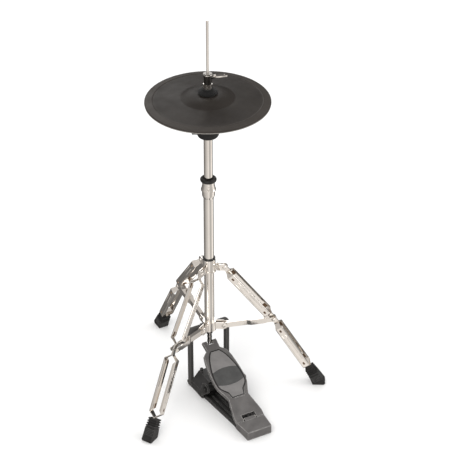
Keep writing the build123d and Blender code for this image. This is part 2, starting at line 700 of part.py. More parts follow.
with BuildPart() as footboard:
    extrude(board_sketch(BOARD, 0, 0, BOARD_END_V), amount=-BOARD_THICK)
    chamfer(footboard.faces().sort_by(Axis((0, 0, 0), BOARD.z_dir))[-1].edges(), 0.8)
    with BuildSketch(BOARD):
        with Locations((0, NOTCH_END_V / 2)):
            Rectangle(2 * NOTCH_HALF, NOTCH_END_V)
        with Locations((0, (TOE_NOTCH_V + BOARD_END_V) / 2 + 0.5)):
            Rectangle(16, BOARD_END_V - TOE_NOTCH_V + 1)
    extrude(amount=-BOARD_THICK, mode=Mode.SUBTRACT)
    extrude(board_sketch(BOARD.offset(-4.5), 4, 26, 218), amount=-BOARD_THICK, mode=Mode.SUBTRACT)

INLAY_HALF = [(11.5, 212), (21.5, 197), (30.5, 172), (36.5, 146), (38, 124), (35.5, 107), (27, 96)]
INLAY_TONGUE = [(20, 89), (16, 73)]
INLAY_DEPTH = 1.6


def inlay_sketch(plane, grow):
    """Spade-shaped outline of the footboard's panel, grown by a margin."""
    with BuildSketch(plane) as outline:
        with BuildLine() as edge:
            side = Spline(*[(x + grow, v) for x, v in INLAY_HALF])
            Polyline(side @ 1, (INLAY_TONGUE[0][0] + grow, INLAY_TONGUE[0][1] - grow / 2),
                     (INLAY_TONGUE[1][0] + grow, INLAY_TONGUE[1][1] - grow))
            mirror(about=Plane.YZ)
            toe = (INLAY_HALF[0][0] + grow, INLAY_HALF[0][1])
            Line(toe, (-toe[0], toe[1]))
            Line((INLAY_TONGUE[1][0] + grow, INLAY_TONGUE[1][1] - grow),
                 (-INLAY_TONGUE[1][0] - grow, INLAY_TONGUE[1][1] - grow))
        make_face(edge.edges())
    return outline.sketch


def grip_sketch(plane, grow):
    """Lens-shaped band across the panel, between two shallow arcs."""
    with BuildSketch(plane) as outline:
        with BuildLine():
            ThreePointArc((-44, 149 + grow), (0, 160 + grow), (44, 149 + grow))
            Line((44, 149 + grow), (44, 119 - grow))
            ThreePointArc((44, 119 - grow), (0, 108 - grow), (-44, 119 - grow))
            Line((-44, 119 - grow), (-44, 149 + grow))
        make_face()
    return outline.sketch


with footboard:
    extrude(inlay_sketch(BOARD, 2.2), amount=-INLAY_DEPTH, mode=Mode.SUBTRACT)
    for place in (HINGE_V, TOE_V):
        across = board_axis(place)
        radius = HINGE_PIN_R if place == TOE_V else HINGE_PIN_R + SLIDE_GAP
        with BuildSketch(across.offset(-60)):
            Circle(radius)
        extrude(amount=120, mode=Mode.SUBTRACT)
save(footboard, "footboard")

with BuildPart() as footboard_inlay:
    extrude(inlay_sketch(BOARD.offset(-INLAY_DEPTH), 0), amount=INLAY_DEPTH + 0.5)
    fillet(footboard_inlay.faces().sort_by(Axis((0, 0, 0), BOARD.z_dir))[-1].edges(), 0.4)
    extrude(grip_sketch(BOARD.offset(-0.6), 0.05), amount=3, mode=Mode.SUBTRACT)
save(footboard_inlay, "footboard_inlay")

with BuildPart() as grip_band:
    extrude(inlay_sketch(BOARD.offset(-0.6), -0.3), amount=1.4)
    extrude(grip_sketch(BOARD.offset(-2), 0), amount=6, mode=Mode.INTERSECT)
save(grip_band, "grip_band")

with BuildPart() as toe_pin:
    rod_along(board_axis(TOE_V), HINGE_PIN_R, -21, -8)
    rod_along(board_axis(TOE_V), 1.6, -8, 8)
    rod_along(board_axis(TOE_V), HINGE_PIN_R, 8, 21)
save(toe_pin, "toe_pin")

HEEL_TOP_Z = BOARD_HEEL[1]
HEEL_FRONT_GAP = 1.0
with BuildPart() as heel_block:
    front_top = BOARD_HEEL[0] - HEEL_FRONT_GAP / cos(SLOPE)
    front_foot = front_top + (HEEL_TOP_Z - PLATE_THICK) * sin(SLOPE) / cos(SLOPE)
    with BuildSketch(Plane.YZ):
        Polygon(
            (front_top, HEEL_TOP_Z), (front_foot, PLATE_THICK), (HEEL_END_Y, PLATE_THICK),
            (HEEL_END_Y, HEEL_TOP_Z - 1.2), (HEEL_END_Y + 1.2, HEEL_TOP_Z), align=None,
        )
    extrude(amount=40, both=True)
    with BuildSketch(Plane.XY):
        Polygon((-39, -205), (39, -205), (38.5, -223), (34.5, HEEL_END_Y), (-34.5, HEEL_END_Y), (-38.5, -223),
                align=None)
    extrude(amount=60, mode=Mode.INTERSECT)
    fillet(heel_block.edges().filter_by(Axis.Z), 3)
    with BuildSketch(BOARD.offset(-0.4)):
        with Locations((0, HINGE_V / 2 - 3)):
            Rectangle(2 * TONGUE_HALF, HINGE_V + 6)
    extrude(amount=-(BOARD_THICK - 0.8))
    with BuildSketch(board_axis(HINGE_V).offset(-TONGUE_HALF)):
        Circle(PIN_DEPTH - 0.4)
    extrude(amount=2 * TONGUE_HALF)
    with BuildSketch(board_axis(HINGE_V).offset(-60)):
        Circle(HINGE_PIN_R)
    extrude(amount=120, mode=Mode.SUBTRACT)
save(heel_block, "heel_block")

with BuildPart() as hinge_pin:
    rod_along(board_axis(HINGE_V), HINGE_PIN_R, -38.5, 38.5)
save(hinge_pin, "hinge_pin")


# ---------------------------------------------------------------- chain and rods
TOE_PIN_Z = board_axis(TOE_V).origin.Z
CHAIN_TOP_Z = TOE_PIN_Z + CHAIN_PITCH * CHAIN_LINKS
CHAIN_PIN_R = 1.5
CHAIN_EYE_R = 2.6           # the open pivot's eye, loose on the toe pin
CHAIN_PLATE_R = 2.9
TOE_EYE_R = 3.9             # outside of the eye round the toe pin
CHAIN_ROLLER_R = 2.4
CHAIN_PIN_END = 5.7
INNER_PLATES = (2.6, 3.9)
OUTER_PLATES = (4.1, 5.4)


def chain_z(index):
    """Height of a chain pin, counted up from the toe pin."""
    return TOE_PIN_Z + CHAIN_PITCH * index


with BuildPart() as chain_plates:
    for link in range(CHAIN_LINKS):
        span = OUTER_PLATES if link % 2 else INNER_PLATES
        for side in (-1, 1):
            with BuildSketch(Plane.YZ.offset(side * sum(span) / 2)):
                with Locations((0, (chain_z(link) + chain_z(link + 1)) / 2)):
                    SlotOverall(CHAIN_PITCH + 2 * CHAIN_PLATE_R, 2 * CHAIN_PLATE_R, rotation=90)
                if link == 0:
                    with Locations((0, chain_z(0))):
                        Circle(TOE_EYE_R)
                for end in (link, link + 1):
                    with Locations((0, chain_z(end))):
                        hole = CHAIN_EYE_R if end == 0 else CHAIN_PIN_R
                        Circle(hole + (SLIDE_GAP if end == CHAIN_LINKS else 0), mode=Mode.SUBTRACT)
            extrude(amount=(span[1] - span[0]) / 2, both=True)
save(chain_plates, "chain_plates")

with BuildPart() as chain_pins:
    for index in range(1, CHAIN_LINKS):
        across = Plane(origin=(0, 0, chain_z(index)), x_dir=(0, 1, 0), z_dir=(1, 0, 0))
        rod_along(across, CHAIN_PIN_R, -CHAIN_PIN_END, CHAIN_PIN_END)
        rod_along(across, CHAIN_ROLLER_R, -INNER_PLATES[0] + 0.1, INNER_PLATES[0] - 0.1)
save(chain_pins, "chain_pins")

ROD_END_R = 8.0
with BuildPart() as rod_end:
    with BuildSketch(Plane.XY.offset(CHAIN_TOP_Z - 5)):
        Circle(ROD_END_R)
    extrude(amount=20)
    with BuildSketch(Plane.XY.offset(CHAIN_TOP_Z - 5)):
        Rectangle(2 * OUTER_PLATES[1] + 0.8, 2 * ROD_END_R)
    extrude(amount=11, mode=Mode.SUBTRACT)
    ring_across = Plane(origin=(0, 0, CHAIN_TOP_Z), x_dir=(0, 1, 0), z_dir=(1, 0, 0))
    rod_along(ring_across, CHAIN_PIN_R, -ROD_END_R, ROD_END_R)
    with BuildSketch(Plane.XY.offset(CHAIN_TOP_Z + 8)):
        Circle(ROD_R)
    extrude(amount=10, mode=Mode.SUBTRACT)
save(rod_end, "rod_end")

with BuildPart() as lower_rod:
    with BuildSketch(Plane.XY.offset(CHAIN_TOP_Z + 8)):
        Circle(ROD_R)
    extrude(amount=ROD_JOIN_Z - CHAIN_TOP_Z - 8)
    with BuildSketch(Plane.XY.offset(SPRING_TOP_Z)):
        Circle(8.6)
    extrude(amount=5)
    with BuildSketch(Plane.XY.offset(ROD_JOIN_Z - 14)):
        Circle(5)
    extrude(amount=18)
    with BuildSketch(Plane.XY.offset(ROD_JOIN_Z - 8)):
        Circle(ROD_R + 0.02)
    extrude(amount=20, mode=Mode.SUBTRACT)
save(lower_rod, "lower_rod")

with BuildPart() as pull_rod:
    with BuildSketch(Plane.XY.offset(ROD_JOIN_Z - 8)):
        Circle(ROD_R)
    extrude(amount=ROD_TOP_Z - ROD_JOIN_Z + 8)
    chamfer(pull_rod.edges().sort_by(Axis.Z)[-1], 0.9)
    with BuildSketch(Plane.XY.offset(CLUTCH_TOP_Z + 11)):
        Circle(ROD_R)
        Circle(ROD_R - 0.2, mode=Mode.SUBTRACT)
    extrude(amount=0.6, mode=Mode.SUBTRACT)
save(pull_rod, "pull_rod")


# ---------------------------------------------------------------- controller under the pad
CONTROLLER_JACK_ANGLE = 152.0
CONTROLLER_JACK_Z = 762.0
PLUNGER_R = 22.0
with BuildPart() as controller_body:
    with BuildSketch(Plane.XZ):
        with BuildLine():
            Polyline((4.5, CONTROLLER_Z[0]), (17, CONTROLLER_Z[0]))
            shoulder = (CONTROLLER_R, CONTROLLER_Z[0] + 11)
            ThreePointArc((17, CONTROLLER_Z[0]), (24.5, CONTROLLER_Z[0] + 3.5), shoulder)
            Polyline(
                shoulder,
                (CONTROLLER_R, CONTROLLER_Z[1] - 1.5),
                (CONTROLLER_R - 1.5, CONTROLLER_Z[1]),
                (PLUNGER_R + 1, CONTROLLER_Z[1]),
                (PLUNGER_R + 1, CONTROLLER_Z[0] + 14),
                (4.5, CONTROLLER_Z[0] + 14),
                (4.5, CONTROLLER_Z[0]),
            )
        make_face()
    revolve(axis=Axis.Z)
    with BuildSketch(radial_plane(CONTROLLER_JACK_ANGLE, CONTROLLER_R - 3, CONTROLLER_JACK_Z)):
        RectangleRounded(24, 20, 3)
    extrude(amount=15)
    with BuildSketch(radial_plane(CONTROLLER_JACK_ANGLE, CONTROLLER_R - 1, CONTROLLER_JACK_Z)):
        Circle(JACK_BARREL_R + 0.1)
    extrude(amount=20, mode=Mode.SUBTRACT)
    with BuildSketch(Plane.XY.offset(CONTROLLER_Z[0])):
        Circle(UPPER_TUBE_R)
    extrude(amount=UPPER_TUBE_Z[1] - CONTROLLER_Z[0], mode=Mode.SUBTRACT)
save(controller_body, "controller_body")


def jack_socket(plane, length):
    """Threaded 6.35 mm jack socket with its hexagon nut, along a plane's normal."""
    with BuildPart() as socket:
        rod_along(plane, JACK_BARREL_R, 0, length)
        with BuildSketch(plane.offset(length)) as nut:
            RegularPolygon(7.2, 6)
        extrude(nut.sketch, amount=2.2)
        with BuildSketch(plane.offset(length + 2.2)) as lip:
            Circle(5)
        extrude(lip.sketch, amount=1.2)
        with BuildSketch(plane.offset(2)) as bore:
            Circle(JACK_R)
        extrude(bore.sketch, amount=length + 4, mode=Mode.SUBTRACT)
    return socket


controller_face = radial_plane(CONTROLLER_JACK_ANGLE, CONTROLLER_R - 1, CONTROLLER_JACK_Z)
save(jack_socket(controller_face, JACK_BARREL), "controller_jack")

with BuildPart() as controller_plunger:
    ring_between(PLUNGER_R, 4.5, CONTROLLER_Z[0] + 18.5, PLUNGER_TOP_Z)
    top_edges = controller_plunger.edges().filter_by(GeomType.CIRCLE).group_by(Axis.Z)[-1]
    fillet(top_edges.sort_by(SortBy.RADIUS)[-1], 2)
save(controller_plunger, "controller_plunger")


# ---------------------------------------------------------------- pad
PAD_HOLE_R = 8.0
COVER = 2.6
RIM = PAD_RIM_Z
TOP_PROFILE = [(63.5, 850.5), (66, 849.4), (100, 846.2), (132, 842.6), (134, 843.2), (149.5, 840.6)]
BELL_FLANK = ((1, 0), (1, -0.45))    # directions at the top and the foot of the bell
BELL_UNDERSIDE = [(24, BELL_TOP_Z - COVER), (40, 856.8), (54, 851.6), (63, 847.6)]
with BuildPart() as pad_cover:
    with BuildSketch(Plane.XZ):
        with BuildLine():
            Polyline((PAD_HOLE_R, BELL_TOP_Z), (24, BELL_TOP_Z - 0.2))
            Spline((24, BELL_TOP_Z - 0.2), (40, 859.6), (54, 855.2), TOP_PROFILE[0], tangents=BELL_FLANK)
            Polyline(*TOP_PROFILE)
            ThreePointArc(TOP_PROFILE[-1], (PAD_R, RIM), (149.5, 835.4))
            Polyline(
                (149.5, 835.4),
                (147.5, 835.9),
                (147.5, 838.2),
                (132, 840.2),
                (66, 846.8),
                (63, 847.6),
            )
            Spline(*BELL_UNDERSIDE, tangents=BELL_FLANK)
            Polyline((24, BELL_TOP_Z - COVER), (PAD_HOLE_R, BELL_TOP_Z - COVER), (PAD_HOLE_R, BELL_TOP_Z))
        make_face()
    revolve(axis=Axis.Z)
save(pad_cover, "pad_cover")

BOSS_Z = 812.0
PAD_JACK_ANGLE = 62.0
PAD_JACK_Z = 824.0
with BuildPart() as pad_base:
    with BuildSketch(Plane.XZ):
        with BuildLine():
            Polyline((PAD_HOLE_R, BELL_TOP_Z - COVER), (24, BELL_TOP_Z - COVER))
            Spline(*BELL_UNDERSIDE, tangents=BELL_FLANK)
            Polyline(
                (63, 847.6),
                (66, 846.8),
                (132, 840.2),
                (147.5, 838.2),
                (147.5, 835.9),
                (149.5, 835.4),
                (148.5, 833.4),
                (144, 832.6),
                (62, 840.5),
                (44, 846),
                (26, 846),
                (24, BOSS_Z + 1),
                (23, BOSS_Z),
                (15, BOSS_Z),
                (15, 832),
                (PAD_HOLE_R, 832),
                (PAD_HOLE_R, BELL_TOP_Z - COVER),
            )
        make_face()
    revolve(axis=Axis.Z)
    with BuildSketch(Plane.XY.offset(814)):
        with Locations(Plane(origin=(0, 0, 0), x_dir=outward(PAD_JACK_ANGLE), z_dir=(0, 0, 1))):
            with Locations((76, 0)):
                RectangleRounded(46, 34, 5)
    extrude(amount=27)
    jack_face = radial_plane(PAD_JACK_ANGLE, 99, PAD_JACK_Z)
    with BuildSketch(jack_face.offset(-13)):
        Circle(JACK_BARREL_R + 0.1)
    extrude(amount=20, mode=Mode.SUBTRACT)
save(pad_base, "pad_base")

save(jack_socket(radial_plane(PAD_JACK_ANGLE, 86, PAD_JACK_Z), JACK_BARREL), "pad_jack")


# ---------------------------------------------------------------- clutch
SLEEVE_R = 5.6
with BuildPart() as bell_bushing:
    ring_between(PAD_HOLE_R - 0.02, SLEEVE_R + 0.4, 832.2, BELL_TOP_Z)
save(bell_bushing, "bell_bushing")

NUT_Z = (816.0, 824.0)
with BuildPart() as clutch_sleeve:
    ring_between(SLEEVE_R, ROD_R + SLIDE_GAP, NUT_Z[0], CLUTCH_TOP_Z - 6)
    with BuildSketch(radial_plane(CLUTCH_WING_ANGLE, 2, CLUTCH_WING_Z)):
        Circle(SCREW_R + 0.1)
    extrude(amount=8, mode=Mode.SUBTRACT)
save(clutch_sleeve, "clutch_sleeve")

with BuildPart() as clutch_nut:
    with BuildSketch(Plane.XY.offset(NUT_Z[0] + 0.2)):
        RegularPolygon(10.5, 6)
        Circle(SLEEVE_R, mode=Mode.SUBTRACT)
    extrude(amount=NUT_Z[1] - NUT_Z[0])
save(clutch_nut, "clutch_nut")

with BuildPart() as bottom_felt:
    ring_between(13.5, SLEEVE_R, NUT_Z[1] + 0.3, 831.6)
    fillet(bottom_felt.edges().filter_by(GeomType.CIRCLE).sort_by(SortBy.RADIUS)[-2:], 1.5)
save(bottom_felt, "bottom_felt")

FELT_Z = (BELL_TOP_Z + 0.3, 874.0)
FELT_R = 24.0
FELT_TOP_R = 13.0
with BuildPart() as top_felt:
    with BuildSketch(Plane.XZ):
        with BuildLine():
            Polyline((SLEEVE_R, FELT_Z[0]), (FELT_R - 1.5, FELT_Z[0]))
            Spline(
                (FELT_R - 1.5, FELT_Z[0]), (FELT_R, FELT_Z[0] + 2.6),
                (18, FELT_Z[0] + 8), (FELT_TOP_R, FELT_Z[1]),
            )
            Polyline((FELT_TOP_R, FELT_Z[1]), (SLEEVE_R, FELT_Z[1]), (SLEEVE_R, FELT_Z[0]))
        make_face()
    revolve(axis=Axis.Z)
save(top_felt, "top_felt")

with BuildPart() as lock_nuts:
    for low in (FELT_Z[1], 880.2):
        with BuildSketch(Plane.XY.offset(low)):
            Circle(10.9)
            Circle(SLEEVE_R, mode=Mode.SUBTRACT)
            with PolarLocations(11.4, 6):
                Circle(1.7, mode=Mode.SUBTRACT)
        extrude(amount=5.8)
save(lock_nuts, "lock_nuts")

with BuildPart() as clutch_body:
    ring_between(9.6, SLEEVE_R, 886.4, CLUTCH_TOP_Z - 6)
    ring_between(9.6, ROD_R + SLIDE_GAP, CLUTCH_TOP_Z - 6, CLUTCH_TOP_Z)
    ring_between(11, 9.6, CLUTCH_TOP_Z - 7, CLUTCH_TOP_Z - 1)
    with BuildSketch(radial_plane(CLUTCH_WING_ANGLE, 8.5, CLUTCH_WING_Z)):
        Circle(5)
    extrude(amount=5.5)
    with BuildSketch(radial_plane(CLUTCH_WING_ANGLE, 4, CLUTCH_WING_Z)):
        Circle(SCREW_HOLE_R)
    extrude(amount=14, mode=Mode.SUBTRACT)
save(clutch_body, "clutch_body")

with BuildPart() as clutch_wing:
    wing_axis = radial_plane(CLUTCH_WING_ANGLE, 0, CLUTCH_WING_Z)
    wing_screw(
        rolled(wing_axis, CLUTCH_WING_ROLL), tip=ROD_R + SCREW_TIP_GAP,
        boss=(14.6, 20, 4.4), wing_span=27, wing_height=9, wing_length=31,
    )
save(clutch_wing, "clutch_wing")

assert len(pieces) <= 60
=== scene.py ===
"""Looks of the electronic hi-hat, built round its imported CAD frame. Metres, +Z up."""
import bpy
import bmesh
import json
import math
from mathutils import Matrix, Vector
from mathutils.bvhtree import BVHTree


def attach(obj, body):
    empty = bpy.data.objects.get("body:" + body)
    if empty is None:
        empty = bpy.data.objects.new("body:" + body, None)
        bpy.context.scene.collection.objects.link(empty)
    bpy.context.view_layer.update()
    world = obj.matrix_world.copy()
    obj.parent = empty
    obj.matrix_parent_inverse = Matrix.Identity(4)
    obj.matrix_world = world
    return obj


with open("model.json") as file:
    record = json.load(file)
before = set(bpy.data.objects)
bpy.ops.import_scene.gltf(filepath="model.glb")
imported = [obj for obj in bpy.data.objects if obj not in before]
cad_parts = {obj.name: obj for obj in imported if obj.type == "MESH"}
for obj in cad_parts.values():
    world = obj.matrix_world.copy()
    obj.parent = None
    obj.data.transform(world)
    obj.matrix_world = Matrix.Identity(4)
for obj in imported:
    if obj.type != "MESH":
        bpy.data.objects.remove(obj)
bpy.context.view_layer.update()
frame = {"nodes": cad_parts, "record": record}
nodes = frame["nodes"]
slot_of = {part["node"]: part["material_slot"] for part in frame["record"]["subparts"]}


# ---------------------------------------------------------------- camera, floor and light
CAMERA_PLACE = (-1.766, -3.364, 2.918)
CAMERA_TURN = (math.radians(57.22), 0.0, math.radians(-28.5))
CAMERA_LENS = 141.2
LIGHT_TARGET = Vector((0, 0, 0.5))      # the middle of the stand
FLOOR_SIZE = (14, 14)
FLOOR_DROP = 0.0004         # keeps the floor just clear of the feet
FLOOR_COLOUR = (0.93, 0.93, 0.93)
WORLD_STRENGTH = 0.9


def make_camera():
    """Camera at the stored viewing angle: in front, to the pedal's left, a little above."""
    data = bpy.data.cameras.new("camera")
    data.sensor_width = 36.0
    data.lens = CAMERA_LENS
    data.clip_end = 60.0
    camera = bpy.data.objects.new("camera", data)
    camera.location = CAMERA_PLACE
    camera.rotation_euler = CAMERA_TURN
    bpy.context.scene.collection.objects.link(camera)
    bpy.context.scene.camera = camera


def plain_material(name, colour, roughness):
    """Flat finish for the floor."""
    material = bpy.data.materials.new(name)
    material.use_nodes = True
    shader = material.node_tree.nodes["Principled BSDF"]
    shader.inputs["Base Color"].default_value = (*colour, 1)
    shader.inputs["Roughness"].default_value = roughness
    return material


def plane(name, size, location, material):
    """A flat rectangle of the stage."""
    mesh = bpy.data.meshes.new(name)
    half_x, half_y = size[0] / 2, size[1] / 2
    corners = [(-half_x, -half_y, 0), (half_x, -half_y, 0), (half_x, half_y, 0), (-half_x, half_y, 0)]
    mesh.from_pydata(corners, [], [(0, 1, 2, 3)])
    card = bpy.data.objects.new(name, mesh)
    card.location = location
    mesh.materials.append(material)
    bpy.context.scene.collection.objects.link(card)
    return card


def area_light(name, location, size, power, colour):
    """Soft rectangular lamp aimed at the middle of the stand."""
    data = bpy.data.lights.new(name, "AREA")
    data.shape = "RECTANGLE"
    data.size, data.size_y = size
    data.energy = power
    data.color = colour
    lamp = bpy.data.objects.new(name, data)
    lamp.location = location
    aim = LIGHT_TARGET - Vector(location)
    lamp.rotation_euler = aim.to_track_quat("-Z", "Y").to_euler()
    bpy.context.scene.collection.objects.link(lamp)


# Brightness round the studio as polished metal sees it: degrees right of the camera, tone
REFLECTED_TONES = [
    (-180, 0.13), (-128, 0.17), (-95, 0.28), (-60, 0.54), (-35, 0.66), (-11, 0.80), (8, 0.95),
    (30, 0.52), (62, 0.58), (86, 1.15), (104, 0.95), (124, 0.24), (180, 0.13),
]
SHELL_RADIUS = 6.0
CAMERA_AZIMUTH = math.radians(-117.7)
SHELL_WARMTH = (1.0, 0.955, 0.91)


OVERHEAD_TONE = (0.66, 0.66, 0.66)
OVERHEAD_SPAN = (0.25, 0.85)        # share of the radius over which the overhead tone comes in


def reflected_ramp(tree, split):
    """Tone by bearing round the studio."""
    bearing = tree.nodes.new("ShaderNodeMath")
    bearing.operation = "ARCTAN2"
    tree.links.new(split.outputs["Y"], bearing.inputs[0])
    tree.links.new(split.outputs["X"], bearing.inputs[1])
    span = tree.nodes.new("ShaderNodeMapRange")
    span.inputs["From Min"].default_value = -math.pi
    span.inputs["From Max"].default_value = math.pi
    tree.links.new(bearing.outputs[0], span.inputs["Value"])
    ramp = tree.nodes.new("ShaderNodeValToRGB")
    ramp.color_ramp.interpolation = "EASE"
    stops = ramp.color_ramp.elements
    for _ in range(len(REFLECTED_TONES) - 2):
        stops.new(0.5)
    for stop, (bearing_at, tone) in zip(stops, REFLECTED_TONES):
        stop.position = (bearing_at + 180) / 360
        stop.color = (tone, tone, tone, 1)
    tree.links.new(span.outputs[0], ramp.inputs[0])
    return ramp.outputs[0]


def overhead_share(tree, split):
    """How far a direction is towards the ceiling."""
    overhead = tree.nodes.new("ShaderNodeMapRange")
    overhead.inputs["From Min"].default_value = OVERHEAD_SPAN[0] * SHELL_RADIUS
    overhead.inputs["From Max"].default_value = OVERHEAD_SPAN[1] * SHELL_RADIUS
    tree.links.new(split.outputs["Z"], overhead.inputs["Value"])
    return overhead.outputs[0]


def shell_material():
    """Glow that varies smoothly with direction, with one tone overhead."""
    material = bpy.data.materials.new("studio_shell")
    material.use_nodes = True
    tree = material.node_tree
    tree.nodes.clear()
    place = tree.nodes.new("ShaderNodeTexCoord")
    split = tree.nodes.new("ShaderNodeSeparateXYZ")
    turn = tree.nodes.new("ShaderNodeVectorRotate")
    turn.rotation_type = "Z_AXIS"
    turn.inputs["Angle"].default_value = -CAMERA_AZIMUTH
    tree.links.new(place.outputs["Object"], turn.inputs["Vector"])
    tree.links.new(turn.outputs[0], split.inputs[0])
    mix = tree.nodes.new("ShaderNodeMix")
    mix.data_type = "RGBA"
    mix.inputs[7].default_value = (*OVERHEAD_TONE, 1)
    tree.links.new(overhead_share(tree, split), mix.inputs["Factor"])
    tree.links.new(reflected_ramp(tree, split), mix.inputs[6])
    warm = tree.nodes.new("ShaderNodeMix")
    warm.data_type = "RGBA"
    warm.blend_type = "MULTIPLY"
    warm.inputs["Factor"].default_value = 1.0
    warm.inputs[7].default_value = (*SHELL_WARMTH, 1)
    tree.links.new(mix.outputs[2], warm.inputs[6])
    glow = tree.nodes.new("ShaderNodeEmission")
    tree.links.new(warm.outputs[2], glow.inputs["Color"])
    out = tree.nodes.new("ShaderNodeOutputMaterial")
    tree.links.new(glow.outputs[0], out.inputs["Surface"])
    return material


def make_shell():
    """A large sphere that only reflections see."""
    mesh = bpy.data.meshes.new("studio_shell")
    sphere = bmesh.new()
    bmesh.ops.create_uvsphere(sphere, u_segments=64, v_segments=32, radius=SHELL_RADIUS)
    sphere.to_mesh(mesh)
    sphere.free()
    shell = bpy.data.objects.new("studio_shell", mesh)
    mesh.materials.append(shell_material())
    for seen_by in ("camera", "diffuse", "shadow", "transmission", "volume_scatter"):
        setattr(shell, "visible_" + seen_by, False)
    bpy.context.scene.collection.objects.link(shell)


def make_stage():
    """Pale floor, white surroundings and soft studio light."""
    white = plain_material("floor", FLOOR_COLOUR, 0.9)
    floor = plane("floor", FLOOR_SIZE, (0, 0, -FLOOR_DROP), white)
    floor.visible_glossy = False
    world = bpy.data.worlds.new("studio")
    world.use_nodes = True
    backdrop = world.node_tree.nodes["Background"]
    backdrop.inputs["Color"].default_value = (1.0, 1.0, 1.0, 1)
    backdrop.inputs["Strength"].default_value = WORLD_STRENGTH
    bpy.context.scene.world = world
    area_light("key", (-2.2, -1.6, 3.4), (2.0, 2.0), 50, (1.0, 0.98, 0.95))
    area_light("fill", (2.8, -1.4, 2.0), (1.6, 2.2), 26, (1.0, 1.0, 1.0))
    area_light("rim", (0.6, 3.0, 2.6), (2.4, 1.6), 20, (1.0, 1.0, 1.0))
    bpy.context.scene.view_settings.view_transform = "Standard"
    make_shell()


# ---------------------------------------------------------------- materials
class Finish:
    """A procedural material: one Principled shader and the nodes that feed it."""

    def __init__(self, name, colour, roughness, metallic=0.0, specular=0.5, sheen=0.0):
        self.material = bpy.data.materials.new(name)
        self.material.use_nodes = True
        self.tree = self.material.node_tree
        self.shader = self.tree.nodes["Principled BSDF"]
        self.shader.inputs["Base Color"].default_value = (*colour, 1)
        self.shader.inputs["Roughness"].default_value = roughness
        self.shader.inputs["Metallic"].default_value = metallic
        self.shader.inputs["Specular IOR Level"].default_value = specular
        self.shader.inputs["Sheen Weight"].default_value = sheen
        self.place = self.node("ShaderNodeTexCoord").outputs["Object"]
        self.normal = None

    def node(self, kind, **values):
        """A new node, with its properties set by name."""
        made = self.tree.nodes.new(kind)
        for key, value in values.items():
            setattr(made, key, value)
        return made

    def link(self, source, target):
        self.tree.links.new(source, target)

    def maths(self, operation, first, second=0.0):
        """A maths node on two values or outputs."""
        made = self.node("ShaderNodeMath", operation=operation)
        for socket, value in zip(made.inputs, (first, second)):
            if hasattr(value, "is_output"):
                self.link(value, socket)
            else:
                socket.default_value = value
        return made.outputs[0]

    def noise(self, scale, detail=3.0, roughness=0.55, stretch=(1, 1, 1)):
        """Noise in the piece's own space, optionally stretched."""
        mapping = self.node("ShaderNodeMapping")
        mapping.inputs["Scale"].default_value = stretch
        self.link(self.place, mapping.inputs["Vector"])
        made = self.node("ShaderNodeTexNoise")
        made.inputs["Scale"].default_value = scale
        made.inputs["Detail"].default_value = detail
        made.inputs["Roughness"].default_value = roughness
        self.link(mapping.outputs[0], made.inputs["Vector"])
        return made.outputs["Fac"]

    def cells(self, scale):
        """Distance from random points, for grains and stipple."""
        made = self.node("ShaderNodeTexVoronoi")
        made.inputs["Scale"].default_value = scale
        self.link(self.place, made.inputs["Vector"])
        return made.outputs["Distance"]

    def radius(self):
        """Distance from the stand's axis."""
        split = self.node("ShaderNodeSeparateXYZ")
        self.link(self.place, split.inputs[0])
        squares = [self.maths("MULTIPLY", split.outputs[i], split.outputs[i]) for i in (0, 1)]
        return self.maths("SQRT", self.maths("ADD", squares[0], squares[1]))

    def spread(self, value, low, high, low_at=0.3, high_at=0.7):
        """Map a value to a range."""
        made = self.node("ShaderNodeMapRange")
        made.inputs["From Min"].default_value = low_at
        made.inputs["From Max"].default_value = high_at
        made.inputs["To Min"].default_value = low
        made.inputs["To Max"].default_value = high
        self.link(value, made.inputs["Value"])
        return made.outputs[0]

    def tint(self, value, dark, light, low_at=0.3, high_at=0.7):
        """Colour between two tones by a value."""
        ramp = self.node("ShaderNodeValToRGB")
        ramp.color_ramp.elements[0].position = low_at
        ramp.color_ramp.elements[0].color = (*dark, 1)
        ramp.color_ramp.elements[1].position = high_at
        ramp.color_ramp.elements[1].color = (*light, 1)
        self.link(value, ramp.inputs[0])
        return ramp.outputs[0]

    def blend(self, value, under, over):
        """Mix two colours by a value."""
        made = self.node("ShaderNodeMix", data_type="RGBA")
        self.link(value, made.inputs["Factor"])
        for socket, colour in ((made.inputs[6], under), (made.inputs[7], over)):
            if hasattr(colour, "is_output"):
                self.link(colour, socket)
            else:
                socket.default_value = (*colour, 1)
        return made.outputs[2]

    def edges(self, width):
        """1 on outer edges, 0 on flat stretches: the mask for rubbed-off edges and painted edge highlights.
        """
        bevel = self.node("ShaderNodeBevel", samples=4)
        bevel.inputs["Radius"].default_value = width
        geometry = self.node("ShaderNodeNewGeometry")
        product = self.node("ShaderNodeVectorMath", operation="DOT_PRODUCT")
        self.link(bevel.outputs[0], product.inputs[0])
        self.link(geometry.outputs["Normal"], product.inputs[1])
        return self.spread(product.outputs["Value"], 1.0, 0.0, 0.86, 0.995)

    def colour(self, output):
        self.link(output, self.shader.inputs["Base Color"])

    def rough(self, output):
        self.link(output, self.shader.inputs["Roughness"])

    def bump(self, height, strength, distance):
        """Add a layer of bump."""
        made = self.node("ShaderNodeBump")
        made.inputs["Strength"].default_value = strength
        made.inputs["Distance"].default_value = distance
        self.link(height, made.inputs["Height"])
        if self.normal is not None:
            self.link(self.normal, made.inputs["Normal"])
        self.normal = made.outputs[0]
        self.link(self.normal, self.shader.inputs["Normal"])


